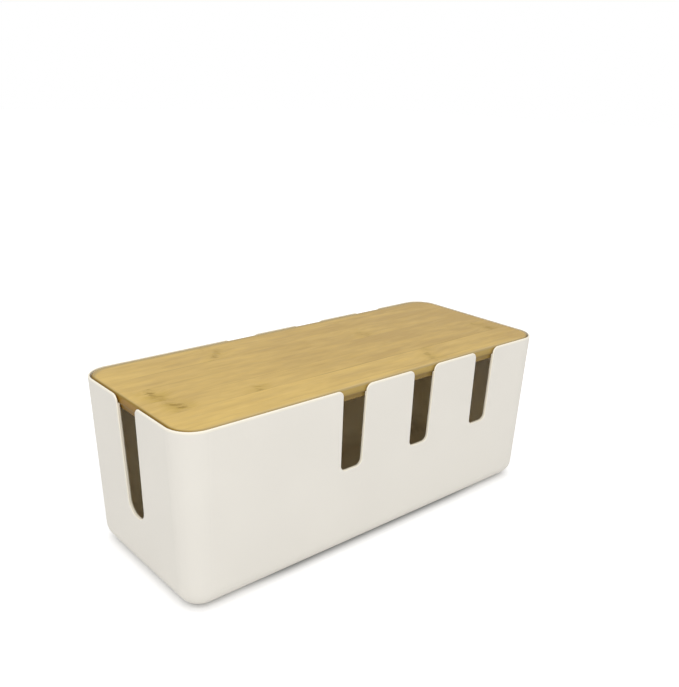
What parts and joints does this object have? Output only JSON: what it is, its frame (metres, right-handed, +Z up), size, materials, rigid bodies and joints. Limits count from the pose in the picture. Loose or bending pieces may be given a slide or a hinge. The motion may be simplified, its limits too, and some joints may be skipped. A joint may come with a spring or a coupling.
{
  "type": "cable management box",
  "caption": "Open moulded box with radiused cable slots from the rim down in its long walls and one end, and a lift-off bamboo lid that sits in a rebate flush with the rim.",
  "frame": {"origin": "bottom centre of the box, in the plane that its feet stand on", "axes": "+X along the length, away from the slotted end; +Y from the front to the back; +Z up, out of the lid"},
  "size_m": [0.303, 0.123, 0.116],
  "materials": {
    "white_plastic": "matte",
    "bamboo": "satin",
    "foot_rubber": "matte"
  },
  "bodies": {
    "box": {"box_shell": "white_plastic", "foot_front_left": "foot_rubber", "foot_front_right": "foot_rubber", "foot_back_left": "foot_rubber", "foot_back_right": "foot_rubber"},
    "lid": {"lid_strip_1": "bamboo", "lid_strip_2": "bamboo", "lid_strip_3": "bamboo", "lid_strip_4": "bamboo", "lid_strip_5": "bamboo", "lid_strip_6": "bamboo", "lid_strip_7": "bamboo", "lid_under_panel": "bamboo"}
  },
  "joints": [
    {"name": "lid_lift", "type": "slide", "parent": "box", "child": "lid", "axis": [0, 0, 1], "range_m": [0, 0.15]}
  ]
}
